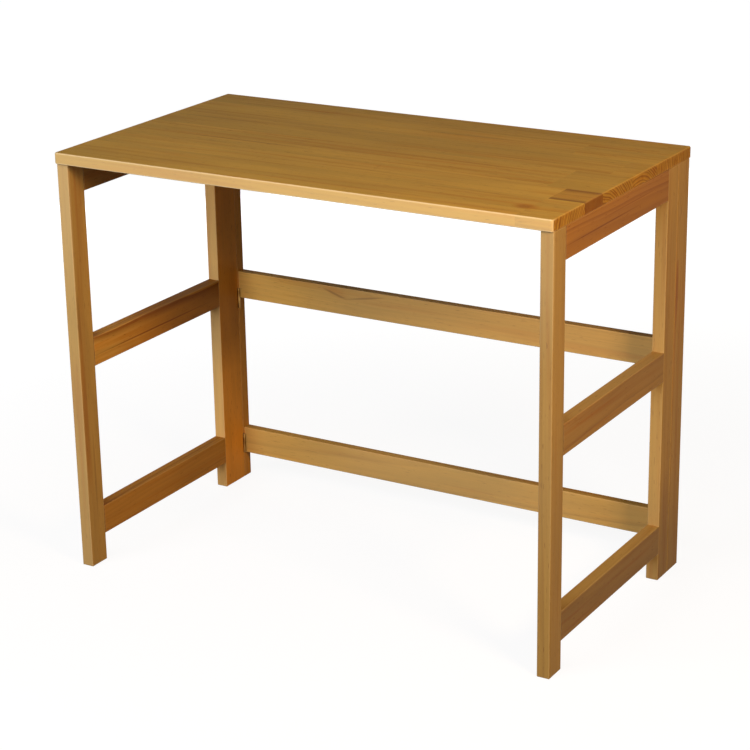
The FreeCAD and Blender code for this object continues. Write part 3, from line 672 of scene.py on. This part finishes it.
class FOLDING_DESK_OT_desktop(bpy.types.Operator):
    """Finish the desktop, a panel of glued staves"""

    bl_idname = "folding_desk.finish_desktop"
    bl_label = "Desktop"

    def execute(self, context):
        pine = context.scene.folding_desk.pine
        middle, turn, half = grain_lie("desktop")
        material, add, shader = new_material("stained_pine_desktop")
        place, facing = own_axes(add, middle, turn)
        x, y = add(SEPARATE, [place], out=None).outputs[:2]
        face_x, face_y = add(SEPARATE, [facing], out=None).outputs[:2]
        from_front = add(MATH, [y, half.y], "ADD")
        across = add(MATH, [from_front, 2 * half.y], "DIVIDE")
        widths, end_lengths, end_tones, end_bands = zip(*STAVES)
        starts = [sum(widths[:index]) for index in range(len(widths))]

        def by_stave(values):
            """Steps through one value for each stave, from front to back."""
            ramp = add("ShaderNodeValToRGB", [across], out=None)
            ramp.color_ramp.interpolation = "CONSTANT"
            stops = ramp.color_ramp.elements
            ready = len(stops)
            for index, (start, value) in enumerate(zip(starts, values)):
                stop = stops[index] if index < ready else stops.new(1.0)
                stop.position = start / (2 * half.y)
                stop.color = (value, value, value, 1)
            return ramp.outputs["Color"]

        # Each stave is one long piece with a short one jointed to its right end, from another log.
        end_start = add(MATH, [half.x, by_stave(end_lengths)], "SUBTRACT")
        at_end = add(MATH, [x, end_start], "GREATER_THAN")
        key = add(COMBINE, [by_stave(starts), at_end])
        chance = add(CHANCE, {"Vector": key}, out="Color")
        log = add(VECTOR_MATH, [chance, STAVE_LOG_SPREAD], "MULTIPLY")
        pith = add(VECTOR_MATH, [chance, STAVE_PITH_SPREAD, STAVE_PITH_FIRST], "MULTIPLY_ADD")
        first, second = add(SEPARATE, [chance], out=None).outputs[:2]
        long_tone = add(MAP_RANGE, [first, *STAVE_TONE])
        tone = add(MIX, {0: at_end, 2: long_tone, 3: by_stave(end_tones)})
        russet = add(MAP_RANGE, [second, *STAVE_RUSSET])

        # Late wood lies along the edges of some end pieces, and all over their cut ends.
        centres = [start + width / 2 for start, width in zip(starts, widths)]
        from_centre = add(MATH, [from_front, by_stave(centres)], "SUBTRACT")
        from_centre = add(MATH, [from_centre], "ABSOLUTE")
        half_width = by_stave([width / 2 for width in widths])
        inside = add(MATH, [half_width, from_centre], "SUBTRACT")
        band = add(MAP_RANGE, [inside, *END_BAND])
        band = add(MATH, [band, face_x], "MAXIMUM")
        band = add(MATH, [band, by_stave(end_bands)], "MULTIPLY")
        band = add(MATH, [band, at_end], "MULTIPLY")
        marks = add_marks(add, place, MARKS["desktop"])
        # Painted highlight: the front edge face is paler, and its arrises paler still.
        bare = add(MAP_RANGE, [face_y, *FRONT_EDGE_HIGHLIGHT])
        rubbed = add(MAP_RANGE, [from_front, *FRONT_ARRIS_HIGHLIGHT])
        stain_pine(add, shader, pine, {
            "Place": place,
            "Facing": facing,
            "Half size": half,
            "Pith": pith,
            "Log": log,
            "Figure": STAVE_FIGURE,
            "Early wood": pine.stave_wood,
            "Tone": tone,
            "Russet": add(MATH, [russet, marks["Russet"]], "ADD"),
            "Band": add(MATH, [band, marks["Band"]], "ADD"),
            "Bare": bare,
            "Rubbed": rubbed,
        })
        dress("desktop", material)
        return {"FINISHED"}


def tarnished_brass(add, place, pattern, fittings):
    """Colour of brass with brown clouds of tarnish."""
    cloud = streaks(add, place, pattern)
    dull = add(MAP_RANGE, [cloud, *TARNISH])
    return add(MIX, {
        0: dull, COLOUR_A: fittings.brass, COLOUR_B: fittings.tarnish}, **COLOUR_MIX)


def brass_strip_material(name, fittings, turn):
    """Brass, rolled into strip and lacquered, its shine dulled by handling.

    The eye gets a warm metal with fine lines along the strip and brown clouds of tarnish.
    """
    material, add, shader = new_material(name)
    place = own_axes(add, (0, 0, 0), turn)[0]
    line = streaks(add, place, STRIP_LINE_NOISE)
    set_inputs(shader, {
        "Base Color": tarnished_brass(add, place, STRIP_CLOUD_NOISE, fittings),
        "Roughness": add(MAP_RANGE, [line, *STRIP_ROUGHNESS]),
        "Normal": add("ShaderNodeBump", {
            "Height": line, "Strength": BUMP_STRENGTH, "Distance": STRIP_RELIEF}),
        "Metallic": 1.0,
    })
    return material


class FOLDING_DESK_OT_hinges(bpy.types.Operator):
    """Finish the leaves and pins of the hinges"""

    bl_idname = "folding_desk.finish_hinges"
    bl_label = "Hinges"

    def execute(self, context):
        fittings = context.scene.folding_desk.fittings
        level = brass_strip_material("rolled_brass_level", fittings, GRAIN_TURNS[0])
        upright = brass_strip_material("rolled_brass_upright", fittings, GRAIN_TURNS[2])
        for node in HINGE_PIECES:
            dress(node, level if node.startswith("desktop") else upright)
        return {"FINISHED"}


def solid_places(nodes):
    """Start and direction of each long solid in nodes of like pieces, from its wider end."""
    return [place for node in nodes for place in places_in(node)]


def places_in(node):
    """Start and direction of each long solid in one node."""
    solids = bmesh.new()
    solids.from_mesh(NODES[node].data)
    bmesh.ops.remove_doubles(solids, verts=solids.verts, dist=SAME_SPOT)
    waiting = set(solids.verts)
    places = []
    while waiting:
        reached = [waiting.pop()]
        for vertex in reached:
            for edge in vertex.link_edges:
                other = edge.other_vert(vertex)
                if other in waiting:
                    waiting.remove(other)
                    reached.append(other)
        points = [vertex.co.copy() for vertex in reached]
        low = Vector(min(point[axis] for point in points) for axis in range(3))
        high = Vector(max(point[axis] for point in points) for axis in range(3))
        long_axis = max(range(3), key=lambda axis: (high - low)[axis])
        middle = (low + high) / 2
        across = Vector((1, 1, 1))
        across[long_axis] = 0
        widest = max(points, key=lambda point: ((point - middle) * across).length)
        start = middle.copy()
        start[long_axis] = low[long_axis] if widest[long_axis] < middle[long_axis] else high[long_axis]
        places.append((start, 2 * (middle - start)))
    solids.free()
    return sorted(places, key=lambda place: tuple(round(c, PLACE_DIGITS) for c in place[0]))


def start_tree(name, sizes):
    """Geometry tree with named inputs for sizes; returns it with what adds nodes to it, and its inputs."""
    tree = bpy.data.node_groups.new(name, "GeometryNodeTree")
    tree.interface.new_socket(name="Places", in_out="INPUT", socket_type="NodeSocketGeometry")
    for label in sizes:
        tree.interface.new_socket(name=label, in_out="INPUT", socket_type="NodeSocketFloat")
    tree.interface.new_socket(name="Pieces", in_out="OUTPUT", socket_type="NodeSocketGeometry")
    add = partial(add_node, tree)
    return tree, add, add("NodeGroupInput", out=None).outputs


def profile_stages(add, along, limits):
    """How far each stage of a profile has gone, from 0 to 1, at a place along it."""
    return [
        add(MAP_RANGE, [along, start, end])
        for start, end in zip(limits, limits[1:])]


def weighted_sum(add, terms):
    """Sum of products of two sockets or values."""
    total = 0.0
    for factor, size in terms:
        total = add(MATH, [factor, size, total], "MULTIPLY_ADD")
    return total


def turned_mesh(add, grid, turn, radius, height):
    """Wraps a grid round Z to a radius and height at each point, and closes its seam and poles."""
    angle = add(MATH, [turn, FULL_TURN], "MULTIPLY")
    cosine = add(MATH, [angle], "COSINE")
    sine = add(MATH, [angle], "SINE")
    x = add(MATH, [radius, cosine], "MULTIPLY")
    y = add(MATH, [radius, sine], "MULTIPLY")
    place = add(COMBINE, [x, y, height])
    wrapped = add("GeometryNodeSetPosition", {"Geometry": grid, "Position": place})
    return add("GeometryNodeMergeByDistance", {"Geometry": wrapped, "Distance": SAME_SPOT})


def unit_grid(add, around, rows):
    """Grid to be wrapped, with its share of a turn and its share of the profile at each point."""
    grid = add("GeometryNodeMeshGrid", {
        "Size X": 1.0, "Size Y": 1.0, "Vertices X": around + 1, "Vertices Y": rows + 1}, out="Mesh")
    spot = add("GeometryNodeInputPosition")
    spot = add(VECTOR_MATH, [spot, (0.5, 0.5, 0)], "ADD")
    turn, along = add(SEPARATE, [spot], out=None).outputs[:2]
    return grid, turn, along


def place_copies(add, given, shape, material, seed):
    """Stands a copy of a shape on each place, with a chance turn about its axis, and ends the tree."""
    spot = add("GeometryNodeInputPosition")
    shape = add("GeometryNodeStoreNamedAttribute", {
        "Geometry": shape, "Name": OWN_PLACE, "Value": spot}, data_type="FLOAT_VECTOR", domain="POINT")
    spin = add("FunctionNodeRandomValue", {2: 0.0, 3: FULL_TURN, "Seed": seed}, out=1)
    spin = add("FunctionNodeAxisAngleToRotation", {"Axis": (0, 0, 1), "Angle": spin})
    axis = add("GeometryNodeInputNamedAttribute", {"Name": AXIS}, data_type="FLOAT_VECTOR")
    stand = add("FunctionNodeAlignRotationToVector", {"Rotation": spin, "Vector": axis}, axis="Z")
    copies = add("GeometryNodeInstanceOnPoints", {
        "Points": given["Places"], "Instance": shape, "Rotation": stand})
    real = add("GeometryNodeRealizeInstances", {"Geometry": copies})
    finished = add("GeometryNodeSetMaterial", {"Geometry": real, "Material": material})
    add("NodeGroupOutput", {"Pieces": finished}, out=None)


def grow_pieces(name, tree, sizes, places):
    """Runs a tree over a list of places and returns one object with the result as a plain mesh."""
    seeds = bpy.data.meshes.new(f"{name}_places")
    seeds.from_pydata([start for start, direction in places], [], [])
    axis = seeds.attributes.new(AXIS, "FLOAT_VECTOR", "POINT")
    for item, (start, direction) in zip(axis.data, places):
        item.vector = direction
    piece = add_object(name, seeds)
    modifier = piece.modifiers.new("pieces", "NODES")
    modifier.node_group = tree
    for item in tree.interface.items_tree:
        if item.name in sizes:
            modifier[item.identifier] = sizes[item.name]
    evaluated = piece.evaluated_get(bpy.context.evaluated_depsgraph_get())
    plain = bpy.data.meshes.new_from_object(evaluated)
    piece.modifiers.remove(modifier)
    piece.data = plain
    plain.name = name
    bpy.data.meshes.remove(seeds)
    if not plain.polygons:
        raise RuntimeError(f"{name} came out empty")
    return piece


def turned_brass_material(fittings):
    """Brass, turned on a lathe and threaded.

    The eye gets fine rings about the screw's own axis and dark tarnish in places.
    """
    material, add, shader = new_material("turned_brass")
    place = add("ShaderNodeAttribute", out="Vector", attribute_name=OWN_PLACE)
    across = add(VECTOR_MATH, [place, (1, 1, 0)], "MULTIPLY")
    radius = add(VECTOR_MATH, [across], "LENGTH", out="Value")
    ring = add(NOISE, {"W": radius, "Scale": 1 / LATHE_RING}, out="Fac", noise_dimensions="1D")
    whole = add(COORDINATES, out="Object")
    set_inputs(shader, {
        "Base Color": tarnished_brass(add, whole, SCREW_CLOUD_NOISE, fittings),
        "Roughness": add(MAP_RANGE, [ring, *SCREW_ROUGHNESS]),
        "Metallic": 1.0,
    })
    return material


class FOLDING_DESK_OT_screws(bpy.types.Operator):
    """Make the countersunk hinge screws with their thread and cross recess"""

    bl_idname = "folding_desk.make_screws"
    bl_label = "Hinge screws"

    def execute(self, context):
        fittings = context.scene.folding_desk.fittings
        places = {body: solid_places(nodes) for body, nodes in SCREW_GROUPS.items()}
        direction = places["left_frame"][0][1]
        sizes = {
            "Length": direction.length,
            "Head": fittings.head,
            "Head height": fittings.head_height,
            "Shank": fittings.shank,
            "Point": fittings.point,
            "Pitch": fittings.thread_pitch,
            "Depth": fittings.thread_depth,
            "Recess span": fittings.recess_span,
            "Recess width": fittings.recess_width,
        }
        tree = self.screw_tree(sizes, turned_brass_material(fittings))
        for body, nodes in SCREW_GROUPS.items():
            piece = grow_pieces(f"{body}_cross_head_screws", tree, sizes, places[body])
            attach(piece, body)
            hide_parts(*nodes)
        return {"FINISHED"}

    def screw_tree(self, sizes, material):
        """One screw along Z from the face of its head, by the stages of its profile."""
        tree, add, given = start_tree("hinge_screw", sizes)
        grid, turn, along = unit_grid(add, SCREW_SIDES, SCREW_ROWS)
        face, cone, thread, point = profile_stages(add, along, SCREW_STAGES)
        head = add(MATH, [given["Head"], 0.5], "MULTIPLY")
        shank = add(MATH, [given["Shank"], 0.5], "MULTIPLY")
        taper = add(MATH, [shank, head], "SUBTRACT")
        sharpen = add(MATH, [shank, -1.0], "MULTIPLY")
        ends = add(MATH, [given["Head height"], given["Point"]], "ADD")
        run = add(MATH, [given["Length"], ends], "SUBTRACT")
        height = weighted_sum(add, ((cone, given["Head height"]), (thread, run), (point, given["Point"])))
        turns = add(MATH, [height, given["Pitch"]], "DIVIDE")
        turns = add(MATH, [turns, turn], "SUBTRACT")
        wave = add(MATH, [turns, 1.0], "PINGPONG")
        cut_in = add(MAP_RANGE, [thread, 0.0, THREAD_START])
        cut_out = add(MAP_RANGE, [point, *FALLING])
        cut = add(MATH, [cut_in, cut_out], "MULTIPLY")
        cut = add(MATH, [cut, wave], "MULTIPLY")
        cut = add(MATH, [cut, -1.0], "MULTIPLY")
        radius = weighted_sum(add, ((face, head), (cone, taper), (point, sharpen), (cut, given["Depth"])))
        screw = turned_mesh(add, grid, turn, radius, height)
        width, span = given["Recess width"], given["Recess span"]
        deep = add(MATH, [width, 2.0], "MULTIPLY")
        recessed = add("GeometryNodeMeshBoolean", {"Mesh 1": screw}, "DIFFERENCE", out=None)
        for x, y in ((span, width), (width, span)):
            size = add(COMBINE, [x, y, deep])
            blade = add("GeometryNodeMeshCube", {"Size": size}, out="Mesh")
            set_inputs(recessed, {"Mesh 2": blade})
        place_copies(add, given, recessed.outputs["Mesh"], material, SCREW_SEED)
        return tree


def bare_beech_material(fittings):
    """Beech, turned and fluted, left bare for the glue.

    The eye gets an even pale tan with short darker rays along the dowel.
    """
    material, add, shader = new_material("bare_beech")
    place = add("ShaderNodeAttribute", out="Vector", attribute_name=OWN_PLACE)
    along = add(MAPPING, {"Vector": place, "Rotation": GRAIN_TURNS[2]}, vector_type="TEXTURE")
    ray = streaks(add, along, RAY_NOISE)
    tone = streaks(add, along, BEECH_TONE_NOISE)
    dark = add(MAP_RANGE, [ray, *BEECH_RAYS])
    set_inputs(shader, {
        "Base Color": add(MIX, {
            0: dark, COLOUR_A: fittings.beech, COLOUR_B: fittings.beech_ray}, **COLOUR_MIX),
        "Roughness": add(MAP_RANGE, [tone, *BEECH_ROUGHNESS]),
        "IOR": WOOD_IOR,
    })
    return material


class FOLDING_DESK_OT_dowels(bpy.types.Operator):
    """Make the fluted dowels that join rails to legs and posts"""

    bl_idname = "folding_desk.make_dowels"
    bl_label = "Dowels"

    def execute(self, context):
        fittings = context.scene.folding_desk.fittings
        places = {body: solid_places(nodes) for body, nodes in DOWEL_GROUPS.items()}
        direction = places["left_frame"][0][1]
        sizes = {
            "Length": direction.length,
            "Diameter": fittings.dowel,
            "Chamfer": fittings.dowel_chamfer,
            "Flute depth": fittings.flute_depth,
        }
        tree = self.dowel_tree(sizes, bare_beech_material(fittings))
        for body, nodes in DOWEL_GROUPS.items():
            piece = grow_pieces(f"{body}_fluted_dowels", tree, sizes, places[body])
            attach(piece, body)
            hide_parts(*nodes)
        return {"FINISHED"}

    def dowel_tree(self, sizes, material):
        """One dowel along Z from its end, by the stages of its profile."""
        tree, add, given = start_tree("fluted_dowel", sizes)
        grid, turn, along = unit_grid(add, FLUTE_SIDES * FLUTES, DOWEL_ROWS)
        first_face, first_chamfer, body, last_chamfer, last_face = profile_stages(add, along, DOWEL_STAGES)
        chamfer = given["Chamfer"]
        full = add(MATH, [given["Diameter"], 0.5], "MULTIPLY")
        small = add(MATH, [full, chamfer], "SUBTRACT")
        less = add(MATH, [chamfer, -1.0], "MULTIPLY")
        nothing = add(MATH, [small, -1.0], "MULTIPLY")
        run = add(MATH, [less, 2.0, given["Length"]], "MULTIPLY_ADD")
        height = weighted_sum(add, ((first_chamfer, chamfer), (body, run), (last_chamfer, chamfer)))
        wave = add(MATH, [turn, FLUTES * FULL_TURN], "MULTIPLY")
        wave = add(MATH, [wave], "COSINE")
        groove = add(MAP_RANGE, [wave, -1.0, 1.0, -1.0, 0.0])
        groove = add(MATH, [groove, first_chamfer], "MULTIPLY")
        left = add(MAP_RANGE, [last_chamfer, *FALLING])
        groove = add(MATH, [groove, left], "MULTIPLY")
        radius = weighted_sum(add, (
            (first_face, small), (first_chamfer, chamfer), (last_chamfer, less), (last_face, nothing),
            (groove, given["Flute depth"])))
        dowel = turned_mesh(add, grid, turn, radius, height)
        place_copies(add, given, dowel, material, DOWEL_SEED)
        return tree


def seen_directly(add):
    """1 for rays from the camera, a mirror or glass, and 0 for the light that falls on the object."""
    path = add("ShaderNodeLightPath", out=None).outputs
    seen = path["Is Camera Ray"]
    for ray in ("Is Glossy Ray", "Is Transmission Ray"):
        seen = add(MATH, [seen, path[ray]], "MAXIMUM")
    return seen


def add_softbox(name, level, colour, azimuth, elevation, distance, width, height):
    """Lamp aimed at the desk from an azimuth right of the front; at level 1 it shows colours as written."""
    lamp = bpy.data.lights.new(name, "AREA")
    lamp.shape = "RECTANGLE"
    lamp.size = width
    lamp.size_y = height
    lamp.energy = level * math.pi ** 2 * distance ** 2
    lamp.color = colour[:3]
    box = add_object(name, lamp)
    turn, lift = math.radians(azimuth), math.radians(elevation)
    towards = Vector((math.sin(turn) * math.cos(lift), -math.cos(turn) * math.cos(lift), math.sin(lift)))
    box.location = AIM + towards * distance
    box.rotation_euler = towards.to_track_quat("Z", "Y").to_euler()
    box.visible_camera = False
    return box


class FOLDING_DESK_OT_studio(bpy.types.Operator):
    """Set up the floor, the light and the camera"""

    bl_idname = "folding_desk.make_studio"
    bl_label = "Studio"

    def execute(self, context):
        studio = context.scene.folding_desk.studio
        context.scene.view_settings.view_transform = "Standard"
        self.lay_floor(studio)
        self.light_room(studio)
        for name, stand in SOFTBOXES.items():
            level, colour = getattr(studio, name), getattr(studio, f"{name}_light")
            box = add_softbox(f"{name}_softbox", level, colour, *stand)
            # The one at the back would wash out the sheen of the desktop.
            box.visible_glossy = name != "back"
        self.set_camera(studio)
        return {"FINISHED"}

    def lay_floor(self, studio):
        """Matt painted floor that sweeps up into a round wall.

        The eye gets plain white with the desk's soft shadow.
        """
        quarter = [QUARTER_TURN * step / COVE_STEPS for step in range(COVE_STEPS + 1)]
        profile = [
            (FLOOR_REACH + COVE_RADIUS * math.sin(t), COVE_RADIUS * (1 - math.cos(t))) for t in quarter]
        profile.append((FLOOR_REACH + COVE_RADIUS, WALL_HEIGHT))
        turns = [FULL_TURN * side / WALL_SIDES for side in range(WALL_SIDES)]
        sweep = bmesh.new()
        rings = [
            [sweep.verts.new((reach * math.cos(t), reach * math.sin(t), height)) for t in turns]
            for reach, height in profile]
        sweep.faces.new(rings[0])
        for low, high in zip(rings, rings[1:]):
            for side in range(WALL_SIDES):
                after = (side + 1) % WALL_SIDES
                sweep.faces.new((low[side], high[side], high[after], low[after]))
        mesh = bpy.data.meshes.new("studio_floor")
        sweep.to_mesh(mesh)
        sweep.free()
        floor = add_object("studio_floor", mesh)
        material, add, shader = new_material("matt_floor_paint")
        place = add(COORDINATES, out="Object")
        mottle = add(NOISE, {"Vector": place, **MOTTLE}, out="Fac")
        away = add(VECTOR_MATH, [place], "LENGTH", out="Value")
        glow = add(MAP_RANGE, [away, *FLOOR_GLOW])
        set_inputs(shader, {
            "Base Color": studio.floor,
            "Roughness": add(MAP_RANGE, [mottle, *FLOOR_ROUGHNESS]),
            "Emission Color": WHITE,
            "Emission Strength": add(MATH, [seen_directly(add), glow], "MULTIPLY"),
            "Specular IOR Level": 0.0,
        })
        # From below the floor is clear, so that the underside of the desk shows.
        below = add("ShaderNodeNewGeometry", out="Backfacing")
        clear = add("ShaderNodeBsdfTransparent")
        either = add("ShaderNodeMixShader", [below, shader.outputs[0], clear])
        set_inputs(material.node_tree.nodes["Material Output"], {"Surface": either})
        mesh.materials.append(material)

    def light_room(self, studio):
        """Even light from all round."""
        world = bpy.data.worlds.new("studio_room")
        bpy.context.scene.world = world
        world.use_nodes = True
        set_inputs(world.node_tree.nodes["Background"], {"Color": WHITE, "Strength": studio.ambient})

    def set_camera(self, studio):
        """Camera at the front right, looking down."""
        lens = bpy.data.cameras.new("studio_camera")
        lens.lens = studio.lens
        camera = add_object("studio_camera", lens)
        turn = (Matrix.Rotation(CAMERA_YAW, 4, "Z") @ Matrix.Rotation(QUARTER_TURN + CAMERA_PITCH, 4, "X")
                @ Matrix.Rotation(CAMERA_ROLL, 4, "Z"))
        camera.matrix_world = Matrix.Translation(CAMERA_PLACE) @ turn
        bpy.context.scene.camera = camera


OPERATORS = (
    FOLDING_DESK_OT_boards,
    FOLDING_DESK_OT_desktop,
    FOLDING_DESK_OT_hinges,
    FOLDING_DESK_OT_screws,
    FOLDING_DESK_OT_dowels,
    FOLDING_DESK_OT_studio,
)


class FOLDING_DESK_PT_panel(bpy.types.Panel):
    """Lists the desk's operators"""

    bl_idname = "FOLDING_DESK_PT_panel"
    bl_label = "Folding Desk"
    bl_space_type = "VIEW_3D"
    bl_region_type = "UI"
    bl_category = "Folding Desk"

    def draw(self, context):
        for operator in OPERATORS:
            self.layout.operator(operator.bl_idname)


CLASSES = (PineSettings, FittingSettings, StudioSettings, DeskSettings, *OPERATORS, FOLDING_DESK_PT_panel)


def register():
    """Registers the classes and the scene's settings."""
    for cls in CLASSES:
        bpy.utils.register_class(cls)
    bpy.types.Scene.folding_desk = bpy.props.PointerProperty(type=DeskSettings)


def unregister():
    """Undoes register."""
    del bpy.types.Scene.folding_desk
    for cls in reversed(CLASSES):
        bpy.utils.unregister_class(cls)


def main():
    """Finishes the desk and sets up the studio."""
    register()
    bpy.ops.folding_desk.finish_boards()
    bpy.ops.folding_desk.finish_desktop()
    bpy.ops.folding_desk.finish_hinges()
    bpy.ops.folding_desk.make_screws()
    bpy.ops.folding_desk.make_dowels()
    bpy.ops.folding_desk.make_studio()


if __name__ == "__main__":
    main()
